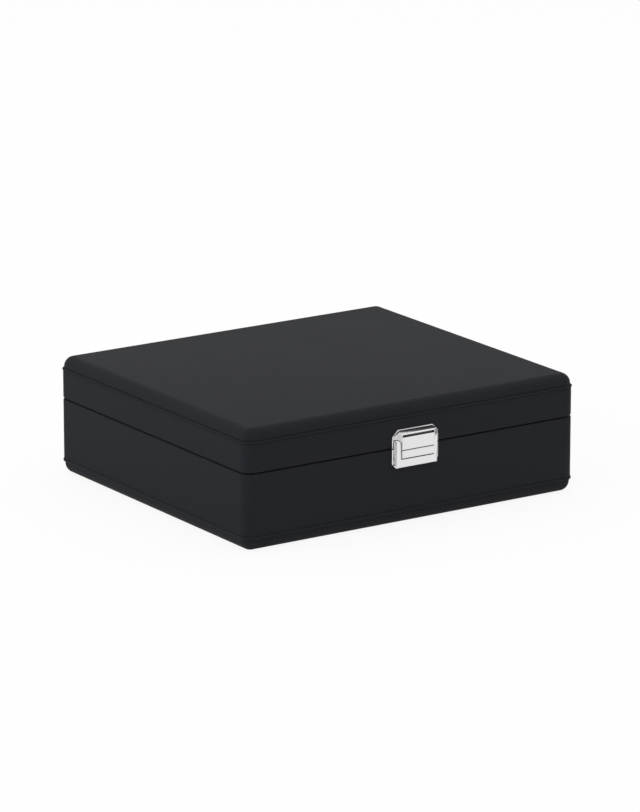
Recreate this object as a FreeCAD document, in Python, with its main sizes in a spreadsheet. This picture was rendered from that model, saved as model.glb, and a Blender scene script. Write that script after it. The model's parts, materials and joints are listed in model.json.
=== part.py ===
import FreeCAD, Part
import os
import Sketcher
from FreeCAD import Placement, Rotation, Vector
from types import SimpleNamespace

# A leather-covered cufflink box: a lined tray of small compartments under a hinged lid that a
# sprung clasp holds shut, over a drawer that slides out of the right-hand side.
# Millimetres. X runs along the front, +Y to the back, +Z up; the origin is the centre of the
# face that the box stands on.

DIMENSIONS = [
    ("box_width", 225.0),
    ("box_depth", 200.0),
    ("box_height", 70.0),
    ("lid_height", 25.0),
    ("seam_gap", 0.6),
    ("corner_radius", 7.0),
    ("leather_thickness", 1.5),
    ("wall_thickness", 6.0),
    ("rim_bevel", 0.5),
    ("pad_inset", 0.65),
    ("pad_rounding", 6.1),
    ("board_bevel", 2.7),
    ("bottom_pad_height", 7.0),
    ("top_pad_height", 6.7),
    ("base_bead_height", 2.0),
    ("lid_bead_height", 1.5),
    ("bead_proud", 0.45),
    ("bead_bevel", 0.6),
    ("lining_thickness", 1.2),
    ("lining_drop", 0.5),
    ("lid_pad_thickness", 3.6),
    ("lid_pad_gap", 0.3),
    ("lid_pad_bevel", 1.4),
    ("drawer_bay_height", 21.0),
    ("deck_thickness", 2.5),
    ("tray_pad_thickness", 1.5),
    ("divider_thickness", 2.4),
    ("divider_drop", 1.2),
    ("divider_fit", 0.1),
    ("tray_columns", 5),
    ("tray_rows", 4),
    ("drawer_width", 150.0),
    ("drawer_front_height", 19.2),
    ("drawer_gap", 0.4),
    ("drawer_front_rounding", 1.2),
    ("drawer_running_gap", 0.3),
    ("drawer_board", 4.0),
    ("drawer_side_height", 17.5),
    ("drawer_bottom_thickness", 2.5),
    ("drawer_pad_thickness", 2.0),
    ("drawer_wrap", 1.0),
    ("drawer_travel", 150.0),
    ("drawer_stop_length", 9.0),
    ("drawer_stop_height", 12.0),
    ("drawer_stop_reach", 2.0),
    ("guide_thickness", 4.0),
    ("drawer_sections", 3),
    ("pull_foot_radius", 4.6),
    ("pull_foot_length", 1.2),
    ("pull_foot_taper", 1.2),
    ("pull_neck_radius", 2.4),
    ("pull_neck_length", 2.6),
    ("pull_flare_length", 2.6),
    ("pull_head_radius", 5.6),
    ("pull_band_length", 1.8),
    ("pull_bevel_length", 1.4),
    ("pull_bevel_depth", 1.2),
    ("pull_crown_length", 1.0),
    ("pull_screw_radius", 1.4),
    ("pull_screw_head_radius", 2.8),
    ("pull_screw_head_height", 1.6),
    ("pull_screw_grip", 4.2),
    ("screw_fit", 0.1),
    ("hinge_spacing", 124.0),
    ("hinge_width", 30.0),
    ("hinge_reach", 7.3),
    ("hinge_leaf", 1.1),
    ("hinge_knuckle_radius", 1.9),
    ("hinge_pin_radius", 0.9),
    ("hinge_running_fit", 0.03),
    ("hinge_clearance", 0.15),
    ("hinge_screw_radius", 0.8),
    ("hinge_screw_head_radius", 1.7),
    ("hinge_screw_length", 5.0),
    ("hinge_screw_pitch", 18.0),
    ("clasp_width", 31.2),
    ("clasp_plate", 0.8),
    ("clasp_above", 10.7),
    ("clasp_below", 11.6),
    ("clasp_top_cut", 3.8),
    ("clasp_bottom_cut", 2.7),
    ("clasp_proud", 4.1),
    ("clasp_face_width", 22.0),
    ("clasp_face_above", 7.1),
    ("clasp_face_below", 5.5),
    ("clasp_roof_drop", 0.5),
    ("clasp_groove_height", 1.15),
    ("clasp_groove_depth", 1.1),
    ("clasp_shoulder_height", 1.0),
    ("clasp_shoulder_depth", 1.2),
    ("clasp_shoulder_bulge", 0.22),
    ("clasp_part_below", 0.7),
    ("clasp_part_gap", 0.25),
    ("clasp_bevel", 0.25),
    ("clasp_split", 4.0),
    ("clasp_tongue", 1.2),
    ("clasp_bar_drop", 1.65),
    ("pivot_forward", 2.05),
    ("pivot_radius", 0.55),
    ("pivot_running_fit", 0.03),
    ("lever_ear_radius", 1.1),
    ("lever_width", 26.8),
    ("lever_back_width", 30.4),
    ("lever_wall", 0.9),
    ("lever_bevel", 0.45),
    ("lever_below", 11.05),
    ("lever_gap", 0.15),
    ("lever_sweep_gap", 0.4),
    ("lever_window_gap", 0.75),
    ("flange_taper_top", 4.3),
    ("flange_taper_bottom", 9.4),
    ("hook_width", 8.0),
    ("hook_depth", 0.95),
    ("hook_height", 1.0),
    ("hook_gap", 0.3),
    ("hook_rise", 0.6),
    ("catch_depth", 1.2),
    ("catch_height", 1.3),
    ("spring_length", 2.2),
    ("spring_wire", 0.4),
    ("spring_turns", 4),
    ("clasp_pin_radius", 0.7),
    ("clasp_pin_length", 5.0),
    ("clasp_pin_pitch", 18.0),
    ("clasp_base_pin_below", 8.6),
    ("clasp_lid_pin_above", 5.6),
]

OVERSHOOT = 1.0         # how far a cutting tool reaches past what it cuts
TOLERANCE = 1e-4        # for finding an edge by its place
SLENDER = 10            # an upright edge is this many times as tall as it is wide
SHANK_SIDES = 6         # screw cores and tines are six-sided, which keeps their facets few

doc = FreeCAD.newDocument("cufflink_box")
sheet = doc.addObject("Spreadsheet::Sheet", "Sizes")
for row, (name, value) in enumerate(DIMENSIONS, start=1):
    sheet.set("A%d" % row, name)
    sheet.set("B%d" % row, str(value))
    sheet.setAlias("B%d" % row, name)
doc.recompute()


class Length:
    """A number together with the sheet formula that it comes from."""

    def __init__(self, number, formula):
        self.number = number
        self.formula = formula

    def joined(self, sign, number, left, right):
        return Length(number, "(%s %s %s)" % (left.formula, sign, right.formula))

    def __add__(self, other):
        other = length(other)
        return self.joined("+", self.number + other.number, self, other)

    def __sub__(self, other):
        other = length(other)
        return self.joined("-", self.number - other.number, self, other)

    def __mul__(self, other):
        other = length(other)
        return self.joined("*", self.number * other.number, self, other)

    def __truediv__(self, other):
        other = length(other)
        return self.joined("/", self.number / other.number, self, other)

    def __radd__(self, other):
        return length(other) + self

    def __rsub__(self, other):
        return length(other) - self

    def __rmul__(self, other):
        return length(other) * self

    def __neg__(self):
        return Length(-self.number, "(0 - %s)" % self.formula)


def length(value):
    """Any number as a Length."""
    if isinstance(value, Length):
        return value
    return Length(float(value), "(%s)" % float(value))


size = SimpleNamespace(**{
    name: Length(float(sheet.get(name)), "Sizes." + name) for name, value in DIMENSIONS
})

parts = []          # the finished sub-parts, each exported under its Label


def finished(item):
    parts.append(item)
    return item


def bind(item, prop, value):
    item.setExpression(prop, length(value).formula)


def place(item, x, y, z):
    for axis, value in zip("xyz", (x, y, z)):
        bind(item, "Placement.Base." + axis, value)


def labelled(kind, label):
    item = doc.addObject(kind, label)
    item.Label = label
    return item


# --- Part primitives and booleans ---

def block(label, x, y, z):
    """A box between a low and a high value on each axis."""
    item = labelled("Part::Box", label)
    for prop, (low, high) in zip(("Length", "Width", "Height"), (x, y, z)):
        bind(item, prop, length(high) - low)
    place(item, x[0], y[0], z[0])
    return item


def rod(label, axis, start, radius, reach, radius_end=None):
    """A cylinder, or a cone if it has an end radius, from start along +X, +Y or +Z."""
    item = labelled("Part::Cone" if radius_end else "Part::Cylinder", label)
    if radius_end:
        bind(item, "Radius1", radius)
        bind(item, "Radius2", radius_end)
    else:
        bind(item, "Radius", radius)
    bind(item, "Height", reach)
    item.Placement = Placement(Vector(), Rotation(Vector(0, 0, 1), axis))
    place(item, *start)
    return item


def shank(label, axis, start, radius, reach):
    """A six-sided rod from start along +X, +Y or +Z, or the hole for one."""
    item = labelled("Part::Prism", label)
    item.Polygon = SHANK_SIDES
    bind(item, "Circumradius", radius)
    bind(item, "Height", reach)
    item.Placement = Placement(Vector(), Rotation(Vector(0, 0, 1), axis))
    place(item, *start)
    return item


def joined(label, items):
    item = labelled("Part::MultiFuse", label)
    item.Shapes = items
    item.Refine = True
    return item


def group(label, items):
    item = labelled("Part::Compound", label)
    item.Links = items
    return item


def cut(label, base, tools):
    """The base less its tools, checked to have lost material."""
    item = labelled("Part::Cut", label)
    item.Base = base
    item.Tool = tools[0] if len(tools) == 1 else group(label + "_tools", tools)
    doc.recompute()
    if not item.Shape.Volume < base.Shape.Volume:
        raise RuntimeError(label + ": nothing was cut")
    return item


def shared(label, base, tool):
    item = labelled("Part::Common", label)
    item.Base = base
    item.Tool = tool
    return item


# --- PartDesign bodies ---

def body_named(label):
    return labelled("PartDesign::Body", label)


def outline(body, label, role, offset, loops):
    """A sketch on one of the body's origin planes, moved by an offset along its normal."""
    sketch = body.newObject("Sketcher::SketchObject", label)
    plane = next(item for item in body.Origin.OriginFeatures if item.Role == role)
    sketch.AttachmentSupport = [(plane, "")]
    sketch.MapMode = "FlatFace"
    bind(sketch, "AttachmentOffset.Base.z", offset)
    draw(sketch, loops)
    return sketch


def draw(sketch, loops):
    """Closed loops whose corners are bound to the sheet.

    A corner is (across, up), or (across, up, via) where an arc through via leads on from it.
    """
    formulas = []
    for corners in loops:
        ends = []
        for place_in_loop, corner in enumerate(corners):
            following = corners[(place_in_loop + 1) % len(corners)]
            start = point_of(corner)
            stop = point_of(following)
            if len(corner) == 3:
                via = point_of(corner[2])
                forwards = (via - start).cross(stop - via).z > 0
                arc = Part.Arc(start, via, stop) if forwards else Part.Arc(stop, via, start)
                edge = sketch.addGeometry(arc, False)
                on_arc = sketch.addGeometry(Part.Point(via), True)
                sketch.addConstraint(Sketcher.Constraint("PointOnObject", on_arc, 1, edge))
                formulas.append((on_arc, 1, corner[2]))
            else:
                edge = sketch.addGeometry(Part.LineSegment(start, stop), False)
                forwards = True
            ends.append((edge, 1, 2) if forwards else (edge, 2, 1))
        for (edge, first, last), (other, other_first, other_last) in zip(ends, ends[1:] + ends[:1]):
            sketch.addConstraint(Sketcher.Constraint("Coincident", edge, last, other, other_first))
        formulas += [(edge, first, corner) for (edge, first, last), corner in zip(ends, corners)]
    for edge, end, corner in formulas:
        for kind, value in zip(("DistanceX", "DistanceY"), corner[:2]):
            value = length(value)
            number = sketch.addConstraint(
                Sketcher.Constraint(kind, -1, 1, edge, end, value.number))
            sketch.setExpression("Constraints[%d]" % number, value.formula)


def point_of(corner):
    return Vector(length(corner[0]).number, length(corner[1]).number, 0)


def rectangle(low_x, high_x, low_y, high_y):
    return [(low_x, low_y), (high_x, low_y), (high_x, high_y), (low_x, high_y)]


def pad(body, label, role, offset, loops, reach):
    feature = body.newObject("PartDesign::Pad", label)
    feature.Profile = outline(body, label + "_sketch", role, offset, loops)
    bind(feature, "Length", reach)
    doc.recompute()
    return feature


def pocket(body, label, role, offset, loops, reach):
    """A pocket from the sketch plane towards the plane's own normal, checked to cut."""
    before = body.Shape.Volume
    feature = body.newObject("PartDesign::Pocket", label)
    feature.Profile = outline(body, label + "_sketch", role, offset, loops)
    feature.Reversed = True
    bind(feature, "Length", reach)
    doc.recompute()
    if not body.Shape.Volume < before:
        raise RuntimeError(label + ": nothing was cut")
    return feature


def dressed(body, label, kind, prop, value, chosen):
    """A fillet or chamfer on the edges of the body that the test picks."""
    base = body.Tip
    names = ["Edge%d" % (number + 1) for number, edge in enumerate(base.Shape.Edges) if chosen(edge)]
    feature = body.newObject("PartDesign::" + kind, label)
    feature.Base = (base, names)
    bind(feature, prop, value)
    doc.recompute()
    return feature


def rounded(body, label, radius, chosen):
    return dressed(body, label, "Fillet", "Radius", radius, chosen)


def bevelled(body, label, width, chosen):
    return dressed(body, label, "Chamfer", "Size", width, chosen)


def upright(edge):
    bounds = edge.BoundBox
    return bounds.ZLength > SLENDER * max(bounds.XLength, bounds.YLength)


def near(value, target):
    return abs(value - length(target).number) < TOLERANCE


def at_height(level):
    return lambda edge: near(edge.BoundBox.ZMin, level) and near(edge.BoundBox.ZMax, level)


def on_front(y):
    return lambda edge: near(edge.BoundBox.YMin, y) and near(edge.BoundBox.YMax, y)


def slab(label, half_x, half_y, low, high, corner, rounds=(), bevels=()):
    """A slab with round corners; rounds and bevels list (level, size) of further edges."""
    body = body_named(label)
    pad(body, label + "_pad", "XY_Plane", low, [rectangle(-half_x, half_x, -half_y, half_y)], high - low)
    rounded(body, label + "_corners", corner, upright)
    for number, (level, radius) in enumerate(rounds):
        rounded(body, "%s_round_%d" % (label, number), radius, at_height(level))
    for number, (level, width) in enumerate(bevels):
        bevelled(body, "%s_bevel_%d" % (label, number), width, at_height(level))
    return body


# --- Levels and faces that several pieces share ---

half_width = size.box_width / 2
half_depth = size.box_depth / 2
wall_out_x = half_width - size.leather_thickness
wall_out_y = half_depth - size.leather_thickness
wall_in_x = wall_out_x - size.wall_thickness
wall_in_y = wall_out_y - size.wall_thickness
inner_corner = size.corner_radius - size.leather_thickness

seam_height = size.box_height - size.lid_height
base_wall_low = size.bottom_pad_height + size.base_bead_height
base_rim = seam_height - size.seam_gap / 2
base_wall_top = base_rim - size.leather_thickness
lid_rim = seam_height + size.seam_gap / 2
lid_wall_low = lid_rim + size.leather_thickness
lid_bead_top = size.box_height - size.top_pad_height
lid_wall_top = lid_bead_top - size.lid_bead_height

deck_low = base_wall_low + size.drawer_bay_height
deck_top = deck_low + size.deck_thickness
tray_floor = deck_top + size.tray_pad_thickness
divider_top = base_rim - size.divider_drop
lining_in_x = wall_in_x - size.lining_thickness
lining_in_y = wall_in_y - size.lining_thickness

front_face = -half_depth
clasp_pin_places = [-size.clasp_pin_pitch / 2, size.clasp_pin_pitch / 2]
clasp_base_pin_level = seam_height - size.clasp_base_pin_below
clasp_lid_pin_level = seam_height + size.clasp_lid_pin_above

hinge_axis_y = half_depth + size.hinge_knuckle_radius + size.hinge_clearance
hinge_places = [("left", -size.hinge_spacing / 2), ("right", size.hinge_spacing / 2)]
hinge_leaf_front = half_depth - size.hinge_reach
hinge_screw_y = half_depth - size.hinge_reach / 2 - size.leather_thickness / 2


def hinge_screw_centres():
    offsets = (-size.hinge_screw_pitch / 2, size.hinge_screw_pitch / 2)
    return [centre + offset for side, centre in hinge_places for offset in offsets]


def hinge_screws(label, face, head_up):
    """Countersunk screws whose heads fill the leaf's thickness, flush with its open face."""
    screws = []
    shank_length = size.hinge_screw_length - size.hinge_leaf
    small, large = size.hinge_screw_radius, size.hinge_screw_head_radius
    for number, x in enumerate(hinge_screw_centres()):
        name = "%s_%d" % (label, number)
        if head_up:
            head = rod(name + "_head", Vector(0, 0, 1), (x, hinge_screw_y, face - size.hinge_leaf),
                       small, size.hinge_leaf, large)
            core_low = face - size.hinge_screw_length
        else:
            head = rod(name + "_head", Vector(0, 0, 1), (x, hinge_screw_y, face),
                       large, size.hinge_leaf, small)
            core_low = face + size.hinge_leaf
        core = shank(name + "_core", Vector(0, 0, 1), (x, hinge_screw_y, core_low), small, shank_length)
        screws.append(joined(name, [head, core]))
    return screws


def bores(label, direction, starts, radius, reach):
    return [shank("%s_%d" % (label, number), direction, start, radius + size.screw_fit, reach)
            for number, start in enumerate(starts)]


def clasp_pin_bores(label, level):
    """Holes through the front leather and into the front wall for the pins of a clasp plate."""
    starts = [(x, front_face - size.clasp_plate, level) for x in clasp_pin_places]
    return bores(label, Vector(0, 1, 0), starts, size.clasp_pin_radius,
                 size.clasp_plate + size.clasp_pin_length + size.screw_fit)


def hinge_bores(label, low):
    """Holes for the hinge screws, from a level upwards."""
    starts = [(x, hinge_screw_y, low) for x in hinge_screw_centres()]
    return bores(label, Vector(0, 0, 1), starts, size.hinge_screw_radius,
                 size.hinge_screw_length + size.screw_fit)


def hinge_recesses(label, low, high):
    """Room in a leather rim for the hinge leaves, open to the back."""
    return [block("%s_%s" % (label, side),
                  (centre - size.hinge_width / 2, centre + size.hinge_width / 2),
                  (hinge_leaf_front, half_depth + size.leather_thickness), (low, high))
            for side, centre in hinge_places]


# --- Wooden walls ---

def walls(name, low, high, front_bores, back_bores):
    """Four boards: front and back run the full width, with rounded ends; the sides butt between."""
    blank = slab(name + "_wall_blank", wall_out_x, wall_out_y, low, high, inner_corner)
    across = (-wall_out_x, wall_out_x)
    front = shared(name + "_wall_front_board", blank, block(
        name + "_wall_front_block", across, (-wall_out_y, -wall_in_y), (low, high)))
    back = shared(name + "_wall_back_board", blank, block(
        name + "_wall_back_block", across, (wall_in_y, wall_out_y), (low, high)))
    finished(cut(name + "_wall_front", front, front_bores))
    finished(cut(name + "_wall_back", back, back_bores))
    finished(block(name + "_wall_left", (-wall_out_x, -wall_in_x), (-wall_in_y, wall_in_y), (low, high)))
    return block(name + "_wall_right", (wall_in_x, wall_out_x), (-wall_in_y, wall_in_y), (low, high))


opening_half = size.drawer_width / 2 + size.drawer_gap
opening_top = base_wall_low + size.drawer_front_height + size.drawer_gap * 2
base_right_blank = walls(
    "base", base_wall_low, base_wall_top,
    clasp_pin_bores("base_wall_clasp_bore", clasp_base_pin_level),
    hinge_bores("base_wall_hinge_bore", base_rim - size.hinge_screw_length - size.screw_fit))
base_right_blank.Label = "base_wall_right_board"
finished(cut("base_wall_right", base_right_blank, [block(
    "base_wall_drawer_opening", (wall_in_x - OVERSHOOT, wall_out_x + OVERSHOOT),
    (-opening_half, opening_half), (base_wall_low - OVERSHOOT, opening_top))]))
lid_right = walls(
    "lid", lid_wall_low, lid_wall_top,
    clasp_pin_bores("lid_wall_clasp_bore", clasp_lid_pin_level),
    hinge_bores("lid_wall_hinge_bore", lid_rim))
finished(lid_right)


# --- Leather side bands: each covers its walls' outside and turns over their rim ---

def side_leather(name, low, high, rim, wall_low, wall_high, extra):
    outside = slab(name + "_side_leather_blank", half_width, half_depth, low, high,
                   size.corner_radius, bevels=[(rim, size.rim_bevel)])
    inside = slab(name + "_side_leather_inside", wall_out_x, wall_out_y, wall_low, wall_high, inner_corner)
    mouth = block(name + "_side_leather_mouth", (-wall_in_x, wall_in_x), (-wall_in_y, wall_in_y), (low, high))
    return finished(cut(name + "_side_leather", outside, [inside, mouth] + extra))


side_leather(
    "base", base_wall_low, base_rim, base_rim, base_wall_low, base_wall_top,
    [block("base_leather_drawer_opening", (wall_in_x, half_width + OVERSHOOT),
           (-opening_half, opening_half), (base_wall_low - OVERSHOOT, opening_top))]
    + hinge_recesses("base_leather_recess", base_rim - size.hinge_leaf, base_rim + OVERSHOOT)
    + hinge_bores("base_leather_hinge_bore", base_rim - size.hinge_screw_length)
    + clasp_pin_bores("base_leather_clasp_bore", clasp_base_pin_level))
side_leather(
    "lid", lid_rim, lid_wall_top, lid_rim, lid_wall_low, lid_wall_top,
    hinge_recesses("lid_leather_recess", lid_rim - OVERSHOOT, lid_rim + size.hinge_leaf)
    + hinge_bores("lid_leather_hinge_bore", lid_rim)
    + clasp_pin_bores("lid_leather_clasp_bore", clasp_lid_pin_level))


# --- Thin leather beads between the side bands and the pads ---

def bead(name, low, high):
    ring = slab(name + "_bead_blank", half_width + size.bead_proud, half_depth + size.bead_proud,
                low, high, size.corner_radius + size.bead_proud,
                bevels=[(high, size.bead_bevel), (low, size.bead_bevel)])
    hole = block(name + "_bead_hole", (-wall_in_x, wall_in_x), (-wall_in_y, wall_in_y), (low, high))
    return finished(cut(name + "_bead", ring, [hole]))


bead("base", size.bottom_pad_height, base_wall_low)
bead("lid", lid_wall_top, lid_bead_top)


# --- Padded leather faces over a board: the top of the lid and the underside ---

def leather_pad(name, board_label, low, high, round_level, board_low, board_high, board_round_level):
    outer_x = half_width - size.pad_inset
    outer_y = half_depth - size.pad_inset
    corner = size.corner_radius - size.pad_inset
    board = slab(board_label, outer_x - size.leather_thickness, outer_y - size.leather_thickness,
                 board_low, board_high, corner - size.leather_thickness,
                 bevels=[(board_round_level, size.board_bevel)])
    finished(board)
    cover = slab(name + "_blank", outer_x, outer_y, low, high, corner,
                 [(round_level, size.pad_rounding)])
    return finished(cut(name, cover, [board]))


leather_pad("base_bottom_leather", "base_bottom_panel", length(0), size.bottom_pad_height, length(0),
            size.leather_thickness, size.bottom_pad_height, size.leather_thickness)
leather_pad("lid_top_leather", "lid_top_panel", lid_bead_top, size.box_height, size.box_height,
            lid_bead_top, size.box_height - size.leather_thickness,
            size.box_height - size.leather_thickness)


# --- Tray of compartments ---

finished(block("base_floor_lining", (-wall_in_x, wall_in_x), (-wall_in_y, wall_in_y),
               (size.bottom_pad_height, base_wall_low)))
finished(block("deck_board", (-wall_in_x, wall_in_x), (-wall_in_y, wall_in_y), (deck_low, deck_top)))
finished(block("tray_floor_pad", (-lining_in_x, lining_in_x), (-lining_in_y, lining_in_y),
               (deck_top, tray_floor)))


def wall_lining(label, low, high):
    outside = block(label + "_outside", (-wall_in_x, wall_in_x), (-wall_in_y, wall_in_y), (low, high))
    inside = block(label + "_inside", (-lining_in_x, lining_in_x), (-lining_in_y, lining_in_y), (low, high))
    return finished(cut(label, outside, [inside]))


wall_lining("tray_wall_lining", deck_top, base_rim - size.lining_drop)
wall_lining("lid_wall_lining", lid_rim + size.lining_drop, lid_wall_top)


def divider_centres(count, half_span):
    """Evenly spaced centre lines that split a span into count equal cells."""
    return [-half_span + half_span * 2 * number / count for number in range(1, count)]


column_lines = divider_centres(int(size.tray_columns.number), lining_in_x)
row_lines = divider_centres(int(size.tray_rows.number), lining_in_y)
half_divider = size.divider_thickness / 2
slot_half = half_divider + size.divider_fit
slot_level = (tray_floor + divider_top) / 2

for number, line in enumerate(row_lines, start=1):
    label = "tray_divider_long_%d" % number
    strip = block(label + "_strip", (-lining_in_x, lining_in_x),
                  (line - half_divider, line + half_divider), (tray_floor, divider_top))
    slots = [block("%s_slot_%d" % (label, place_number), (x - slot_half, x + slot_half),
                   (line - size.divider_thickness, line + size.divider_thickness),
                   (slot_level, divider_top + OVERSHOOT))
             for place_number, x in enumerate(column_lines)]
    finished(cut(label, strip, slots))

for number, line in enumerate(column_lines, start=1):
    label = "tray_divider_cross_%d" % number
    strip = block(label + "_strip", (line - half_divider, line + half_divider),
                  (-lining_in_y, lining_in_y), (tray_floor, divider_top))
    slots = [block("%s_slot_%d" % (label, place_number),
                   (line - size.divider_thickness, line + size.divider_thickness),
                   (y - slot_half, y + slot_half), (tray_floor - OVERSHOOT, slot_level))
             for place_number, y in enumerate(row_lines)]
    finished(cut(label, strip, slots))


# --- Lid lining: a card inside the bead with a soft pad glued under it ---

finished(block("lid_pad_board", (-wall_in_x, wall_in_x), (-wall_in_y, wall_in_y),
               (lid_wall_top, lid_bead_top)))
finished(slab("lid_pad", lining_in_x - size.lid_pad_gap, lining_in_y - size.lid_pad_gap,
              lid_wall_top - size.lid_pad_thickness, lid_wall_top, size.lid_pad_thickness,
              bevels=[(lid_wall_top - size.lid_pad_thickness, size.lid_pad_bevel)]))


# --- Drawer and its guides ---

guide_in = size.drawer_width / 2 - size.drawer_gap + size.drawer_stop_reach + size.drawer_running_gap
guide_out = guide_in + size.guide_thickness
for side, low, high in (("front", -guide_out, -guide_in), ("rear", guide_in, guide_out)):
    finished(block("drawer_guide_" + side, (-wall_in_x, wall_in_x), (low, high), (base_wall_low, deck_low)))

front_low = base_wall_low + size.drawer_gap
front_high = front_low + size.drawer_front_height
board_x = (wall_in_x, half_width - size.leather_thickness)
drawer_half = size.drawer_width / 2
side_out = drawer_half - size.drawer_gap
side_in = side_out - size.drawer_board
drawer_low = base_wall_low + size.drawer_running_gap
side_high = drawer_low + size.drawer_side_height
drawer_back_x = -wall_in_x + size.drawer_running_gap
drawer_floor = drawer_low + size.drawer_bottom_thickness
drawer_pad_top = drawer_floor + size.drawer_pad_thickness
pull_level = (front_low + front_high) / 2

pull_bore = rod("drawer_pull_bore", Vector(1, 0, 0), (wall_in_x - OVERSHOOT, 0, pull_level),
                size.pull_screw_radius + size.screw_fit, half_width - wall_in_x + OVERSHOOT * 2)
front_board = block("drawer_front_blank", board_x,
                    (-drawer_half + size.drawer_wrap, drawer_half - size.drawer_wrap),
                    (front_low + size.drawer_wrap, front_high - size.drawer_wrap))
front_cover = body_named("drawer_front_cover")
pad(front_cover, "drawer_front_cover_pad", "YZ_Plane", wall_in_x,
    [rectangle(-drawer_half, drawer_half, front_low, front_high)], half_width - wall_in_x)
rounded(front_cover, "drawer_front_cover_edge", size.drawer_front_rounding,
        lambda edge: near(edge.BoundBox.XMin, half_width))
finished(cut("drawer_front_leather", front_cover, [front_board, pull_bore]))
finished(cut("drawer_front_board", front_board, [pull_bore]))

for side, low, high in (("front", -side_out, -side_in), ("rear", side_in, side_out)):
    finished(block("drawer_side_" + side, (drawer_back_x, wall_in_x), (low, high), (drawer_low, side_high)))
finished(block("drawer_back", (drawer_back_x, drawer_back_x + size.drawer_board),
               (-side_in, side_in), (drawer_low, side_high)))
finished(block("drawer_bottom", (drawer_back_x + size.drawer_board, wall_in_x),
               (-side_in, side_in), (drawer_low, drawer_floor)))
finished(block("drawer_floor_pad", (drawer_back_x + size.drawer_board, wall_in_x),
               (-side_in, side_in), (drawer_floor, drawer_pad_top)))

drawer_span = wall_in_x - drawer_back_x - size.drawer_board
section_count = int(size.drawer_sections.number)
for number in range(1, section_count):
    line = drawer_back_x + size.drawer_board + drawer_span * number / section_count
    finished(block("drawer_divider_%d" % number, (line - half_divider, line + half_divider),
                   (-side_in, side_in), (drawer_pad_top, side_high - size.divider_drop)))

stop_front = wall_in_x - size.drawer_travel - size.drawer_running_gap
stop_low = drawer_low + size.drawer_bottom_thickness
stops = [block("drawer_stop_" + side, (stop_front - size.drawer_stop_length, stop_front), (low, high),
               (stop_low, stop_low + size.drawer_stop_height))
         for side, low, high in (("front", -side_out - size.drawer_stop_reach, -side_out),
                                 ("rear", side_out, side_out + size.drawer_stop_reach))]
finished(group("drawer_stops", stops))

# The pull is a turned knob: a foot on the leather, a narrow neck and a head with a low crown.
foot_end = half_width + size.pull_foot_length
neck_start = foot_end + size.pull_foot_taper
neck_end = neck_start + size.pull_neck_length
head_start = neck_end + size.pull_flare_length
bevel_start = head_start + size.pull_band_length
crown_start = bevel_start + size.pull_bevel_length
tip = crown_start + size.pull_crown_length
grip_end = half_width + size.pull_screw_grip
turned = [
    (half_width, size.pull_screw_radius),
    (half_width, size.pull_foot_radius),
    (foot_end, size.pull_foot_radius),
    (neck_start, size.pull_neck_radius),
    (neck_end, size.pull_neck_radius),
    (head_start, size.pull_head_radius),
    (bevel_start, size.pull_head_radius),
    (crown_start, size.pull_head_radius - size.pull_bevel_depth),
    (tip, 0),
    (grip_end, 0),
    (grip_end, size.pull_screw_radius),
]


def revolved(label, profile_corners, y, z):
    """A solid turned about a line along X; the corners are (x, radius)."""
    profile = labelled("Sketcher::SketchObject", label + "_profile")
    profile.Placement.Rotation = Rotation(Vector(1, 0, 0), 90)
    bind(profile, "Placement.Base.y", y)
    bind(profile, "Placement.Base.z", z)
    draw(profile, [profile_corners])
    solid = labelled("Part::Revolution", label)
    solid.Source = profile
    solid.Axis = Vector(1, 0, 0)
    bind(solid, "Base.y", y)
    bind(solid, "Base.z", z)
    solid.Angle = 360
    solid.Solid = True
    return finished(solid)


revolved("drawer_pull", turned, 0, pull_level)
finished(joined("drawer_pull_screw", [
    rod("drawer_pull_screw_head", Vector(1, 0, 0),
        (wall_in_x - size.pull_screw_head_height, 0, pull_level),
        size.pull_screw_head_radius, size.pull_screw_head_height),
    rod("drawer_pull_screw_shank", Vector(1, 0, 0), (wall_in_x, 0, pull_level),
        size.pull_screw_radius, grip_end - wall_in_x)]))


# --- Hinges ---

half_hinge = size.hinge_width / 2
half_knuckle = half_hinge / 3
knuckle_gap = size.hinge_clearance / 2


def hinge_leaf(label, centre, low, high, spans, other_spans, bore_radius, screw_tools):
    """A leaf in its rim recess, joined to its own knuckles and cleared round the other's."""
    left = centre - size.hinge_width / 2
    right = centre + size.hinge_width / 2
    plate = block(label + "_plate", (left, right), (hinge_leaf_front, hinge_axis_y), (low, high))
    barrels = [rod("%s_knuckle_%d" % (label, number), Vector(1, 0, 0),
                   (x_low, hinge_axis_y, seam_height), size.hinge_knuckle_radius, x_high - x_low)
               for number, (x_low, x_high) in enumerate(spans)]
    clear = [rod("%s_clearance_%d" % (label, number), Vector(1, 0, 0),
                 (x_low - size.hinge_clearance, hinge_axis_y, seam_height),
                 size.hinge_knuckle_radius + size.hinge_clearance, x_high - x_low + size.hinge_clearance * 2)
             for number, (x_low, x_high) in enumerate(other_spans)]
    trimmed = cut(label + "_trimmed", plate, clear)
    whole = joined(label + "_whole", [trimmed] + barrels)
    bore = rod(label + "_bore", Vector(1, 0, 0), (left, hinge_axis_y, seam_height),
               bore_radius, size.hinge_width)
    return finished(cut(label, whole, [bore] + screw_tools))


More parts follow.
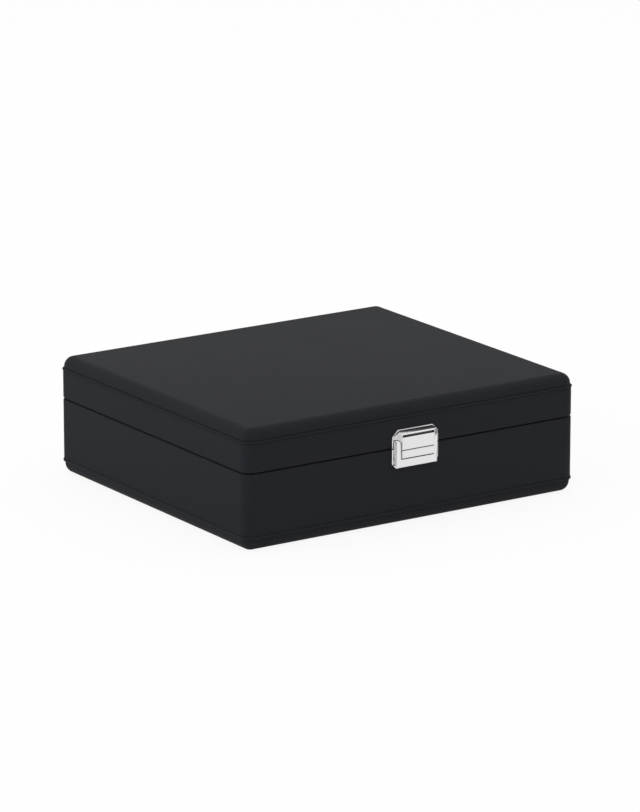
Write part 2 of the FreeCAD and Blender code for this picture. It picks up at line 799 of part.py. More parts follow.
base_screws = hinge_screws("hinge_base_screw", base_rim, True)
lid_screws = hinge_screws("hinge_lid_screw", lid_rim, False)
for number, (side, centre) in enumerate(hinge_places):
    middle = [(centre - half_knuckle + knuckle_gap, centre + half_knuckle - knuckle_gap)]
    outer = [(centre - half_hinge, centre - half_knuckle - knuckle_gap),
             (centre + half_knuckle + knuckle_gap, centre + half_hinge)]
    own = slice(number * 2, number * 2 + 2)
    hinge_leaf("hinge_base_leaf_" + side, centre, base_rim - size.hinge_leaf, base_rim,
               outer, middle, size.hinge_pin_radius, base_screws[own])
    hinge_leaf("hinge_lid_leaf_" + side, centre, lid_rim, lid_rim + size.hinge_leaf,
               middle, outer, size.hinge_pin_radius + size.hinge_running_fit, lid_screws[own])
    finished(rod("hinge_pin_" + side, Vector(1, 0, 0),
                 (centre - size.hinge_width / 2, hinge_axis_y, seam_height),
                 size.hinge_pin_radius, size.hinge_width))
finished(group("hinge_base_screws", base_screws))
finished(group("hinge_lid_screws", lid_screws))


# --- Clasp: the lid carries a hipped hood with a tongue, the base a keeper below the tongue, and
# a sprung lever on the hood's pivot frames both and hooks under a catch on the base plate ---

clasp_half = size.clasp_width / 2
clasp_top = seam_height + size.clasp_above
clasp_foot = seam_height - size.clasp_below
plate_front = front_face - size.clasp_plate
plate_middle = front_face - size.clasp_plate / 2
face_half = size.clasp_face_width / 2
face_top = seam_height + size.clasp_face_above
face_low = seam_height - size.clasp_face_below
hood_front = front_face - size.clasp_proud
split = seam_height + size.clasp_split
part_level = seam_height - size.clasp_part_below
tongue_low = part_level + size.clasp_part_gap / 2
keeper_top = part_level - size.clasp_part_gap / 2
pivot_y = front_face - size.pivot_forward
outside_x = clasp_half + OVERSHOOT
outside_y = hood_front - OVERSHOOT
lever_low = seam_height - size.lever_below
lever_front = pivot_y - size.lever_ear_radius
lever_back = pivot_y + size.lever_ear_radius
lever_inside = lever_front + size.lever_wall
strip_top = face_low - size.lever_window_gap


def clasp_plate(label, corners, pin_level, extra):
    """A flat plate with the tines that hold it to the wall, and what it carries."""
    plate = body_named(label + "_flat")
    pad(plate, label + "_pad", "XZ_Plane", half_depth, [corners], size.clasp_plate)
    tines = [shank("%s_tine_%d" % (label, number), Vector(0, 1, 0), (x, plate_middle, pin_level),
                   size.clasp_pin_radius, size.clasp_pin_length + size.clasp_plate / 2)
             for number, x in enumerate(clasp_pin_places)]
    return finished(joined(label, [plate] + tines + extra))


def face_plate(label, depth, low, high):
    """A block behind the clasp's face, with the edges of its front taken off."""
    body = body_named(label)
    pad(body, label + "_pad", "XZ_Plane", -hood_front - depth,
        [rectangle(-face_half, face_half, low, high)], depth)
    bevelled(body, label + "_bevel", size.clasp_bevel, on_front(hood_front))
    return body


hook_low = lever_low + size.hook_rise
catch_low = hook_low + size.hook_height + size.hook_gap
catch = block("clasp_catch", (-size.hook_width / 2, size.hook_width / 2),
              (plate_front - size.catch_depth, plate_middle), (catch_low, catch_low + size.catch_height))
keeper = face_plate("clasp_keeper", plate_middle - hood_front, face_low, keeper_top)
low_corner = clasp_half - size.clasp_bottom_cut
low_cut_level = clasp_foot + size.clasp_bottom_cut
clasp_plate("clasp_base_plate",
            [(-low_corner, clasp_foot), (low_corner, clasp_foot), (clasp_half, low_cut_level),
             (clasp_half, base_rim), (-clasp_half, base_rim), (-clasp_half, low_cut_level)],
            clasp_base_pin_level, [catch, keeper])
high_corner = clasp_half - size.clasp_top_cut
high_cut_level = clasp_top - size.clasp_top_cut
clasp_plate("clasp_lid_plate",
            [(-clasp_half, lid_rim), (clasp_half, lid_rim), (clasp_half, high_cut_level),
             (high_corner, clasp_top), (-high_corner, clasp_top), (-clasp_half, high_cut_level)],
            clasp_lid_pin_level, [])

# The hood's roof starts under the plate's top edge and slopes down to a rounded shoulder, and a
# groove parts the shoulder from the face.
groove_top = face_top + size.clasp_groove_height
groove_back = hood_front + size.clasp_groove_depth
shoulder_y = hood_front + size.clasp_shoulder_depth
shoulder_z = groove_top + size.clasp_shoulder_height
shoulder_via = (hood_front + size.clasp_shoulder_depth / 2 - size.clasp_shoulder_bulge,
                groove_top + size.clasp_shoulder_height / 2 + size.clasp_shoulder_bulge)
hood = body_named("clasp_hood_form")
pad(hood, "clasp_hood_pad", "YZ_Plane", -clasp_half,
    [[(plate_front, split), (plate_front, clasp_top - size.clasp_roof_drop),
      (shoulder_y, shoulder_z, shoulder_via),
      (hood_front, groove_top), (groove_back, groove_top), (groove_back, face_top),
      (hood_front, face_top), (hood_front, split)]], size.clasp_width)
for side in (-1, 1):
    pocket(hood, "clasp_hood_gable_%d" % (side + 1), "XY_Plane", split - OVERSHOOT,
           [[(clasp_half * side, plate_front), (face_half * side, hood_front), (face_half * side, outside_y),
             (outside_x * side, outside_y), (outside_x * side, plate_front)]],
           size.clasp_above + OVERSHOOT * 2)
    pocket(hood, "clasp_hood_corner_%d" % (side + 1), "XZ_Plane", half_depth,
           [[(high_corner * side, clasp_top), (clasp_half * side, high_cut_level),
             (outside_x * side, high_cut_level), (outside_x * side, clasp_top + OVERSHOOT),
             (high_corner * side, clasp_top + OVERSHOOT)]], size.clasp_proud + OVERSHOOT)
tongue = face_plate("clasp_tongue", size.clasp_tongue, tongue_low, face_top - size.clasp_tongue)
ear_start = face_half + size.lever_gap
spring_start = face_half - size.spring_length - size.lever_gap
bar = block("clasp_hood_bar", (-face_half, spring_start), (hood_front + size.clasp_tongue / 2, plate_front),
            (split - size.clasp_bar_drop, split + size.clasp_tongue))
ear_room = size.lever_ear_radius + size.lever_sweep_gap
rooms = [rod("clasp_ear_room_%d" % number, Vector(1, 0, 0), (x, pivot_y, split), ear_room, clasp_half)
         for number, x in enumerate((-face_half - clasp_half, face_half))]
rooms.append(rod("clasp_spring_room", Vector(1, 0, 0), (spring_start, pivot_y, split),
                 size.lever_ear_radius, size.spring_length + size.lever_gap))
pin_hole = rod("clasp_hood_pin_hole", Vector(1, 0, 0), (-clasp_half, pivot_y, split), size.pivot_radius,
               size.clasp_width)
finished(cut("clasp_hood", joined("clasp_hood_solid", [hood, tongue, bar]), rooms + [pin_hole]))

# The lever's side walls slant outwards to the back, like the gables of the hood above them.
slant = (size.lever_back_width - size.lever_width) / 2 / (size.lever_ear_radius * 2)
lever_front_half = size.lever_width / 2
lever_back_half = size.lever_back_width / 2
inside_front_half = lever_front_half + slant * size.lever_wall - size.lever_wall
inside_back_half = inside_front_half + slant * (size.lever_ear_radius * 2 - size.lever_wall)
lever = body_named("clasp_lever_form")
taper_top = seam_height - size.flange_taper_top
taper_low = seam_height - size.flange_taper_bottom
pad(lever, "clasp_lever_pad", "YZ_Plane", -lever_back_half,
    [[(lever_front, lever_low), (lever_inside, lever_low), (lever_inside, taper_low),
      (lever_back, taper_top), (lever_back, split, (pivot_y, split + size.lever_ear_radius)),
      (lever_front, split)]], size.lever_back_width)
lever_height = split + size.lever_ear_radius - lever_low
for side in (-1, 1):
    pocket(lever, "clasp_lever_slant_%d" % (side + 1), "XY_Plane", lever_low - OVERSHOOT,
           [[(lever_back_half * side, lever_back), (lever_front_half * side, lever_front),
             (lever_front_half * side, lever_front - OVERSHOOT), (outside_x * side, lever_front - OVERSHOOT),
             (outside_x * side, lever_back)]], lever_height + OVERSHOOT * 2)
bevelled(lever, "clasp_lever_bevel", size.lever_bevel,
         lambda edge: on_front(lever_front)(edge) and not at_height(split)(edge))
channel_top = split - size.lever_ear_radius - size.lever_gap
pocket(lever, "clasp_lever_channel", "XY_Plane", lever_low - OVERSHOOT,
       [[(-inside_back_half, lever_back), (-inside_front_half, lever_inside),
         (inside_front_half, lever_inside), (inside_back_half, lever_back)]],
       channel_top - lever_low + OVERSHOOT)
pocket(lever, "clasp_lever_window", "XY_Plane", strip_top,
       [rectangle(-ear_start, ear_start, lever_front - OVERSHOOT, lever_back + OVERSHOOT)],
       lever_height)
hook = block("clasp_hook", (-size.hook_width / 2, size.hook_width / 2),
             (lever_inside - size.lever_wall / 2, lever_inside + size.hook_depth),
             (hook_low, hook_low + size.hook_height))
ear_bore = rod("clasp_lever_bore", Vector(1, 0, 0), (-clasp_half, pivot_y, split),
               size.pivot_radius + size.pivot_running_fit, size.clasp_width)
finished(cut("clasp_lever", joined("clasp_lever_solid", [lever, hook]), [ear_bore]))

pin_half = (lever_front_half + lever_back_half) / 2
finished(rod("clasp_pivot_pin", Vector(1, 0, 0), (-pin_half, pivot_y, split),
             size.pivot_radius, pin_half * 2))

# The spring is a close-wound coil on the pivot pin, in a room at one end of the hood's bar. Its
# turns are drawn as ridges, each rising to a full wire's thickness between two valleys.
coil_inside = size.pivot_radius + size.pivot_running_fit
coil_crest = coil_inside + size.spring_wire
coil_valley = coil_inside + size.spring_wire / 2
coil_start = spring_start + size.lever_gap / 2
coil_end = coil_start + size.spring_length
turn = size.spring_length / size.spring_turns
ridges = [(coil_start, coil_inside), (coil_start, coil_valley)]
for number in range(int(size.spring_turns.number)):
    turn_end = coil_start + turn * (number + 1)
    ridges += [(turn_end - turn / 2, coil_crest), (turn_end, coil_valley)]
revolved("clasp_spring", ridges + [(coil_end, coil_inside)], pivot_y, split)


# --- Check every object, then write each sub-part ---

doc.recompute()
for item in doc.Objects:
    if "Invalid" in item.State or "Error" in item.State:
        raise RuntimeError("%s is %s" % (item.Label, item.State))
os.makedirs("parts", exist_ok=True)
for item in parts:
    if item.Shape.isNull() or not item.Shape.isValid() or not item.Shape.Solids:
        raise RuntimeError(item.Label + " has no sound solid")
    item.Shape.exportStep("parts/%s.step" % item.Label)
print("%d sub-parts written" % len(parts))
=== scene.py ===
import bpy
import bmesh
import json
import math
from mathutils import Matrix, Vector


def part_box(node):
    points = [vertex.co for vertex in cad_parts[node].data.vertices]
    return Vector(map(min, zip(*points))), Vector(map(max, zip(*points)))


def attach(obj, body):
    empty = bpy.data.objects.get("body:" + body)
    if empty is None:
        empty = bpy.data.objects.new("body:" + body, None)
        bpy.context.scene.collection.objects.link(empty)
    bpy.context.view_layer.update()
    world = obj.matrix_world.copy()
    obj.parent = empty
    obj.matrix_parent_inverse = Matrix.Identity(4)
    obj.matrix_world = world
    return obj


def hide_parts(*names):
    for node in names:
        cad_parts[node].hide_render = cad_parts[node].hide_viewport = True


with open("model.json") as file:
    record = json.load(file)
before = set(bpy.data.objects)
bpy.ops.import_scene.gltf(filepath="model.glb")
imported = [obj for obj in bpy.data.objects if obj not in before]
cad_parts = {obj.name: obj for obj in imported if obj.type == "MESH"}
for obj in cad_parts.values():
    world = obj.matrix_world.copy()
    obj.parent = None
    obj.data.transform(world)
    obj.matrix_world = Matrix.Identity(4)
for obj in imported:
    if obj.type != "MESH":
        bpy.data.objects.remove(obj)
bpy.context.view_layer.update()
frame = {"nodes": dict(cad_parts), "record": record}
nodes = frame["nodes"]
slotOf = {row["node"]: row["material_slot"] for row in frame["record"]["subparts"]}
bodies = frame["record"]["behaviour"]["bodies"]
bodyOf = {node: body for body, members in bodies.items() for node in members}
mm = 0.001
print("frame loaded with", len(nodes), "nodes")


# camera, from the front left and a little above

camera = {
    "aim": (8.5 * mm, 8.1 * mm, 41.9 * mm),
    "yaw": 33.73,                                  # degrees to the left of the front
    "pitch": 15.25,                                # degrees above the horizon
    "distance": 2950 * mm,
    "lens": 225.8,                                 # for a 36 mm sensor along the frame's long side
    "clip": (0.1, 50),
}


def makeCamera(spec):
    yaw, pitch = math.radians(spec["yaw"]), math.radians(spec["pitch"])
    back = Vector((-math.sin(yaw) * math.cos(pitch), -math.cos(yaw) * math.cos(pitch), math.sin(pitch)))
    data = bpy.data.cameras.new("camera")
    data.lens = spec["lens"]
    data.clip_start, data.clip_end = spec["clip"]
    item = bpy.data.objects.new("camera", data)
    item.location = Vector(spec["aim"]) + back * spec["distance"]
    item.rotation_mode = "QUATERNION"
    item.rotation_quaternion = (-back).to_track_quat("-Z", "Y")
    bpy.context.scene.collection.objects.link(item)
    bpy.context.scene.camera = item


makeCamera(camera)
print("camera placed")


# node trees: a Wire is a socket that adds, multiplies and so on, a Finish is a material being built
# and a Pattern is a geometry tree being built

class Wire:
    def __init__(self, owner, socket):
        self.owner = owner
        self.socket = socket

    def maths(self, operation, *others, first=False):
        values = [*others, self] if first else [self, *others]
        return self.owner.add("Math", {"operation": operation}, dict(enumerate(values)))

    def __add__(self, other):
        return self.maths("ADD", other)

    def __radd__(self, other):
        return self.maths("ADD", other, first=True)

    def __sub__(self, other):
        return self.maths("SUBTRACT", other)

    def __rsub__(self, other):
        return self.maths("SUBTRACT", other, first=True)

    def __mul__(self, other):
        return self.maths("MULTIPLY", other)

    def __rmul__(self, other):
        return self.maths("MULTIPLY", other, first=True)

    def __pow__(self, other):
        return self.maths("POWER", other)

    def __rpow__(self, other):
        return self.maths("POWER", other, first=True)


class Tree:
    prefix = "ShaderNode"

    def __init__(self, tree):
        self.tree = tree

    def add(self, kind, settings=None, inputs=None, out=0):
        node = self.tree.nodes.new(self.prefix + kind)
        for key, value in (settings or {}).items():
            if key == "stops":
                self.setStops(node.color_ramp, value)
            else:
                setattr(node, key, value)
        for key, value in (inputs or {}).items():
            for one in value if isinstance(value, list) else [value]:
                self.feed(node.inputs[key], one)
        return Wire(self, node.outputs[out]) if node.outputs else None

    def feed(self, socket, value):
        if isinstance(value, Wire):
            self.tree.links.new(value.socket, socket)
        else:
            socket.default_value = value

    def setStops(self, ramp, stops):
        while len(ramp.elements) < len(stops):
            ramp.elements.new(0.5)
        for element, (place, shade) in zip(ramp.elements, stops):
            element.position = place
            element.color = shade


class Finish(Tree):
    def __init__(self, name):
        self.material = bpy.data.materials.new(name)
        self.material.use_nodes = True
        super().__init__(self.material.node_tree)
        self.tree.nodes.clear()

    def place(self):                               # Object coordinates, in metres
        return self.add("TexCoord", out="Object")

    def noise(self, cell, detail=2.0, roughness=0.5, vector=None, distortion=0.0):
        return self.add("TexNoise", {}, {
            "Vector": vector or self.place(), "Scale": 1 / cell, "Detail": detail,
            "Roughness": roughness, "Distortion": distortion})

    def stretched(self, scale):
        return self.add("Mapping", {}, {"Vector": self.place(), "Scale": scale})

    def mixed(self, share, first, second):         # a colour between two others
        return self.add("Mix", {"data_type": "RGBA"}, {0: share, 6: first, 7: second}, out=2)

    def ramp(self, share, stops):
        return self.add("ValToRGB", {"stops": stops}, {"Fac": share})

    def bump(self, height, distance, strength=1.0, normal=None):
        inputs = {"Height": height, "Distance": distance, "Strength": strength}
        if normal:
            inputs["Normal"] = normal
        return self.add("Bump", {}, inputs)

    def surface(self, **inputs):
        names = {"colour": "Base Color", "sheen": "Sheen Weight", "sheenRoughness": "Sheen Roughness",
                 "specular": "Specular IOR Level"}
        shader = self.add("BsdfPrincipled", {}, {
            names.get(key, key.capitalize()): value for key, value in inputs.items()})
        self.add("OutputMaterial", {}, {"Surface": shader})
        return self.material


class Pattern(Tree):
    prefix = "GeometryNode"

    def __init__(self, name, sockets):             # sockets: each input's name and its type
        super().__init__(bpy.data.node_groups.new(name, "GeometryNodeTree"))
        self.tree.interface.new_socket("Shape", in_out="OUTPUT", socket_type="NodeSocketGeometry")
        for label, kind in sockets.items():
            self.tree.interface.new_socket(label, in_out="INPUT", socket_type="NodeSocket" + kind)
        source = self.tree.nodes.new("NodeGroupInput")
        self.inputs = {socket.name: Wire(self, socket) for socket in source.outputs if socket.name}

    def finish(self, shape):
        real = self.add("RealizeInstances", {}, {"Geometry": shape})
        dressed = self.add("SetMaterial", {}, {"Geometry": real, "Material": self.inputs["Finish"]})
        self.tree.links.new(dressed.socket, self.tree.nodes.new("NodeGroupOutput").inputs[0])
        return self.tree


def colour(red, green, blue):
    return (red, green, blue, 1)


# finishes: noise and cell sizes are in metres

def blackLeather():                                # smooth calf with a very fine grain, dyed black
    spec = {
        "dark": colour(0.0090, 0.0098, 0.0122), "light": colour(0.0146, 0.0157, 0.0189),
        "pebble": 0.7 * mm, "warpCell": 1.75 * mm, "warp": 0.56 * mm, "softness": 0.35, "pebbleEdge": 1.6,
        "pore": 0.2 * mm, "patch": 40 * mm, "wave": 30 * mm,
        "patchShare": 0.5, "pebbleShare": 0.35, "poreShare": 0.15,
        "pebbleDepth": 0.03 * mm, "poreDepth": 0.012 * mm, "waveDepth": 0.04 * mm,
        "roughness": 0.78, "patchRoughness": 0.08, "pebbleRoughness": 0.06, "specular": 0.15,
    }
    leather = Finish("blackLeather")
    warp = leather.noise(spec["warpCell"], detail=1.0)
    bent = leather.add("VectorMath", {"operation": "MULTIPLY_ADD"}, {
        0: warp, 1: (spec["warp"],) * 3, 2: leather.place()})
    cells = leather.add("TexVoronoi", {"feature": "SMOOTH_F1"}, {
        "Vector": bent, "Scale": 1 / spec["pebble"], "Smoothness": spec["softness"]})
    pebble = 1 - cells ** spec["pebbleEdge"]
    pore = leather.noise(spec["pore"])
    patch = leather.noise(spec["patch"], detail=3.0, roughness=0.55)
    normal = leather.bump(leather.noise(spec["wave"], detail=1.0), spec["waveDepth"])
    normal = leather.bump(pebble, spec["pebbleDepth"], strength=0.6, normal=normal)
    normal = leather.bump(pore, spec["poreDepth"], strength=0.5, normal=normal)
    shade = patch * spec["patchShare"] + pebble * spec["pebbleShare"] + pore * spec["poreShare"]
    roughness = spec["roughness"] + (patch - 0.5) * spec["patchRoughness"]
    return leather.surface(
        colour=leather.mixed(shade, spec["dark"], spec["light"]),
        roughness=roughness - (pebble - 0.5) * spec["pebbleRoughness"],
        normal=normal, specular=spec["specular"])


def suede():                                       # napped lining
    spec = {
        "dark": colour(0.070, 0.071, 0.078), "light": colour(0.150, 0.152, 0.162),
        "fibre": 0.25 * mm, "depth": 0.09 * mm, "stroke": 9 * mm, "swirl": 0.6,
        "roughness": 0.88, "fibreRoughness": 0.1,
        "sheen": 0.35, "sheenRoughness": 0.45, "specular": 0.2,
    }
    nap = Finish("suede")
    fibre = nap.noise(spec["fibre"], detail=3.0, roughness=0.7)
    stroke = nap.noise(spec["stroke"], roughness=0.6, distortion=spec["swirl"])
    return nap.surface(
        colour=nap.mixed(fibre * 0.5 + stroke * 0.5, spec["dark"], spec["light"]),
        roughness=spec["roughness"] + (fibre - 0.5) * spec["fibreRoughness"],
        normal=nap.bump(fibre, spec["depth"], strength=0.8),
        sheen=spec["sheen"], sheenRoughness=spec["sheenRoughness"], specular=spec["specular"])


def chrome(name, face, roughness=0.11):            # plated metal, with painted shade in its crevices
    spec = {
        "paintedShade": colour(0.018, 0.018, 0.02),
        "reach": 1.2 * mm, "closed": 0.30, "open": 0.62,   # openness: how far it looks, all painted shade below, none above
        "mark": 0.35 * mm, "markLength": 14, "markDepth": 0.0012 * mm, "smear": 7 * mm,
        "markRoughness": 0.03, "smearRoughness": 0.05,
    }
    plate = Finish(name)
    marks = plate.noise(spec["mark"], vector=plate.stretched((1 / spec["markLength"], 1, 1)))
    smear = plate.noise(spec["smear"])
    # painted shade: the colour falls to the dark one where nearby surfaces close a spot in
    openness = plate.add("AmbientOcclusion", {"samples": 16}, {"Distance": spec["reach"]}, out="AO")
    unshaded = plate.ramp(openness, [(spec["closed"], colour(0, 0, 0)), (spec["open"], colour(1, 1, 1))])
    return plate.surface(
        colour=plate.mixed(unshaded, spec["paintedShade"], face), metallic=1.0,
        roughness=roughness + smear * spec["smearRoughness"] + marks * spec["markRoughness"],
        normal=plate.bump(marks, spec["markDepth"], strength=0.5))


def steel():                                       # plain bright screws, pins and spring
    spec = {
        "dark": colour(0.42, 0.42, 0.43), "light": colour(0.55, 0.55, 0.56),
        "line": 0.2 * mm, "stretch": (1, 1, 0.15), "roughness": 0.28, "lineRoughness": 0.12,
    }
    metal = Finish("steel")
    lines = metal.noise(spec["line"], vector=metal.stretched(spec["stretch"]))
    return metal.surface(
        colour=metal.mixed(lines, spec["dark"], spec["light"]), metallic=1.0,
        roughness=spec["roughness"] + lines * spec["lineRoughness"])


def board():                                       # fine fibreboard, dyed black through
    spec = {
        "dark": colour(0.018, 0.018, 0.019), "light": colour(0.055, 0.053, 0.052),
        "fibre": 0.5 * mm, "stretch": (0.35, 0.35, 1), "depth": 0.05 * mm,
        "fleck": 2.5 * mm, "fleckShare": 0.3, "roughness": 0.78,
    }
    wood = Finish("board")
    fibre = wood.noise(spec["fibre"], detail=4.0, roughness=0.65, vector=wood.stretched(spec["stretch"]))
    shade = fibre * (1 - spec["fleckShare"]) + wood.noise(spec["fleck"]) * spec["fleckShare"]
    return wood.surface(
        colour=wood.mixed(shade, spec["dark"], spec["light"]), roughness=spec["roughness"],
        normal=wood.bump(fibre, spec["depth"], strength=0.6))


def card():                                        # grey pressed card
    spec = {
        "dark": colour(0.13, 0.12, 0.11), "light": colour(0.2, 0.19, 0.17),
        "fibre": 0.3 * mm, "depth": 0.03 * mm, "roughness": 0.85,
    }
    paper = Finish("card")
    fibre = paper.noise(spec["fibre"], detail=3.0, roughness=0.6)
    return paper.surface(
        colour=paper.mixed(fibre, spec["dark"], spec["light"]), roughness=spec["roughness"],
        normal=paper.bump(fibre, spec["depth"], strength=0.6))


finishes = {
    "black_leather": blackLeather(), "suede": suede(),
    "chrome": chrome("chrome", colour(0.775, 0.775, 0.785)),
    "steel": steel(), "board": board(), "card": card(),
}
for name, item in nodes.items():
    item.data.materials.clear()
    item.data.materials.append(finishes[slotOf[name]])

print("materials made:", ", ".join(finishes))


# pieces: each is a plain mesh at the origin that rides on its body and stands for its nodes

def show(mesh, name, body, replaced):
    item = bpy.data.objects.new(name, mesh)
    bpy.context.scene.collection.objects.link(item)
    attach(item, body)
    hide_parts(*replaced)
    return item


def plainMesh(item):                               # the helper object's mesh with its modifiers applied
    bpy.context.view_layer.update()
    mesh = bpy.data.meshes.new_from_object(item.evaluated_get(bpy.context.evaluated_depsgraph_get()))
    bpy.data.objects.remove(item)
    return mesh


def grownMesh(tree, values):                       # the mesh that a geometry tree makes from its inputs
    item = bpy.data.objects.new("seed", bpy.data.meshes.new("seed"))
    bpy.context.scene.collection.objects.link(item)
    modifier = item.modifiers.new("pattern", "NODES")
    modifier.node_group = tree
    for socket in tree.interface.items_tree:
        if socket.in_out == "INPUT":
            modifier[socket.identifier] = values[socket.name]
    return plainMesh(item)


def gathered(meshes, name, sharp):                 # several meshes as one, smooth up to an angle in degrees
    build = bmesh.new()
    for mesh in meshes:
        build.from_mesh(mesh)
    whole = bpy.data.meshes.new(name)
    build.to_mesh(whole)
    build.free()
    for material in meshes[0].materials:
        whole.materials.append(material)
    whole.shade_smooth()
    whole.set_sharp_from_angle(angle=math.radians(sharp))
    return whole


def welded(node):                                  # a node's loose triangles as one mesh of whole faces
    weld, flat = 0.001 * mm, math.radians(0.4)
    build = bmesh.new()
    build.from_mesh(nodes[node].data)
    bmesh.ops.remove_doubles(build, verts=build.verts, dist=weld)
    bmesh.ops.dissolve_limit(build, angle_limit=flat, verts=build.verts, edges=build.edges)
    mesh = bpy.data.meshes.new(node)
    build.to_mesh(mesh)
    build.free()
    mesh.shade_smooth()
    return mesh


def band(build, first, second):                    # the faces between two rings of vertices
    faces = []
    for here in range(len(first)):
        there = (here + 1) % len(first)
        faces.append(build.faces.new([first[here], first[there], second[there], second[here]]))
    return faces


def edged(mesh, look):                             # the mesh with its edges rounded
    for finish in look["finishes"]:
        mesh.materials.append(finish)
    item = bpy.data.objects.new("edged", mesh)
    bpy.context.scene.collection.objects.link(item)
    bevel = item.modifiers.new("edges", "BEVEL")
    bevel.width = look["width"]
    bevel.segments = look["segments"]
    bevel.limit_method = "ANGLE"
    bevel.angle_limit = math.radians(look["angle"])
    bevel.harden_normals = True
    bevel.material = look.get("edgeFinish", -1)
    return plainMesh(item)


# dividers: slats wrapped in suede, in rows over each floor pad

dividers = {
    "rounding": 1.15 * mm, "roundingSteps": 5,
    "sharp": 60,                                   # degrees from which an edge stays sharp
    "crossDrop": 0.25 * mm,                        # the slats that run in Y are this much lower
    "rows": {                                      # each row: nodes' prefix, number, 0 for X or 1 for Y
        "trayDividers": ("base", [("tray_divider_long_", 3, 0), ("tray_divider_cross_", 4, 1)]),
        "drawerDividers": ("drawer", [("drawer_divider_", 2, 1)]),
    },
}


def slatTree():
    slats = Pattern("paddedSlats", {
        "Count": "Int", "First": "Vector", "Step": "Vector", "From": "Vector", "To": "Vector",
        "Thickness": "Float", "Height": "Float", "Rounding": "Float", "Rounding Steps": "Int",
        "Finish": "Material"})
    given = slats.inputs
    spots = slats.add("MeshLine", {"mode": "OFFSET"}, {
        "Count": given["Count"], "Start Location": given["First"], "Offset": given["Step"]})
    section = slats.add("CurvePrimitiveQuadrilateral", {}, {
        "Width": given["Thickness"], "Height": given["Height"]})
    section = slats.add("FilletCurve", {"mode": "POLY"}, {
        "Curve": section, "Count": given["Rounding Steps"], "Radius": given["Rounding"],
        "Limit Radius": True})
    run = slats.add("CurvePrimitiveLine", {}, {"Start": given["From"], "End": given["To"]})
    slat = slats.add("CurveToMesh", {}, {"Curve": run, "Profile Curve": section, "Fill Caps": True})
    return slats.finish(slats.add("InstanceOnPoints", {}, {"Points": spots, "Instance": slat}))


def slatRow(tree, members, along, spec):
    low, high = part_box(members[0])
    drop = spec["crossDrop"] * along
    end = Vector((0, 0, 0))
    end[along] = (high - low)[along] / 2
    return grownMesh(tree, {
        "Count": len(members), "First": (low + high) / 2 - Vector((0, 0, drop / 2)),
        "Step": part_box(members[1])[0] - low, "From": -end, "To": end,
        "Thickness": (high - low)[1 - along], "Height": high.z - low.z - drop,
        "Rounding": spec["rounding"], "Rounding Steps": spec["roundingSteps"],
        "Finish": finishes["suede"]})


def makeDividers(spec):
    tree = slatTree()
    for name, (body, rows) in spec["rows"].items():
        meshes, replaced = [], []
        for prefix, count, along in rows:
            members = [prefix + str(number) for number in range(1, count + 1)]
            meshes.append(slatRow(tree, members, along, spec))
            replaced += members
        show(gathered(meshes, name, spec["sharp"]), name, body, replaced)


makeDividers(dividers)
print("dividers made")


# hinge screws: countersunk, with a cross recess

screws = {
    "spacing": 124 * mm, "pitch": 18 * mm,         # between the hinges, and between a leaf's two screws
    "headRadius": 1.7 * mm, "headDepth": 1.1 * mm, "headSides": 28,
    "shankRadius": 0.8 * mm, "shankSides": 12,
    "slotWidth": 0.42 * mm, "slotReach": 2.1 * mm, "slotDepth": 0.6 * mm,
    "twist": 17,                                   # degrees that the recess is turned
    "sharp": 35,                                   # degrees from which an edge stays sharp
    "sets": {                                      # each set: its node, its body and its tilt in degrees
        "hingeBaseScrews": ("hinge_base_screws", "base", 0),
        "hingeLidScrews": ("hinge_lid_screws", "lid", 180),
    },
}


def screwTree():
    pattern = Pattern("crossScrews", {
        "Middle": "Vector", "Spacing": "Vector", "Pitch": "Vector", "Turn": "Vector",
        "Head Radius": "Float", "Head Depth": "Float", "Head Sides": "Int", "Head Place": "Vector",
        "Shank Radius": "Float", "Shank Length": "Float", "Shank Sides": "Int", "Shank Place": "Vector",
        "Long Slot": "Vector", "Cross Slot": "Vector", "Finish": "Material"})
    given = pattern.inputs
    head = pattern.add("MeshCone", {}, {
        "Vertices": given["Head Sides"], "Radius Top": given["Head Radius"],
        "Radius Bottom": given["Shank Radius"], "Depth": given["Head Depth"]})
    head = pattern.add("Transform", {}, {"Geometry": head, "Translation": given["Head Place"]})
    slots = [pattern.add("MeshCube", {}, {"Size": given[name]}) for name in ("Long Slot", "Cross Slot")]
    head = pattern.add("MeshBoolean", {"operation": "DIFFERENCE", "solver": "MANIFOLD"}, {
        0: head, 1: slots})
    shank = pattern.add("MeshCylinder", {}, {
        "Vertices": given["Shank Sides"], "Radius": given["Shank Radius"], "Depth": given["Shank Length"]})
    shank = pattern.add("Transform", {}, {"Geometry": shank, "Translation": given["Shank Place"]})
    screw = pattern.add("JoinGeometry", {}, {0: [head, shank]})
    leaf = pattern.add("MeshLine", {"mode": "OFFSET"}, {"Count": 2, "Offset": given["Pitch"]})
    pair = pattern.add("InstanceOnPoints", {}, {
        "Points": leaf, "Instance": screw, "Rotation": given["Turn"]})
    hinges = pattern.add("MeshLine", {"mode": "OFFSET"}, {
        "Count": 2, "Start Location": given["Middle"], "Offset": given["Spacing"]})
    return pattern.finish(pattern.add("InstanceOnPoints", {}, {"Points": hinges, "Instance": pair}))


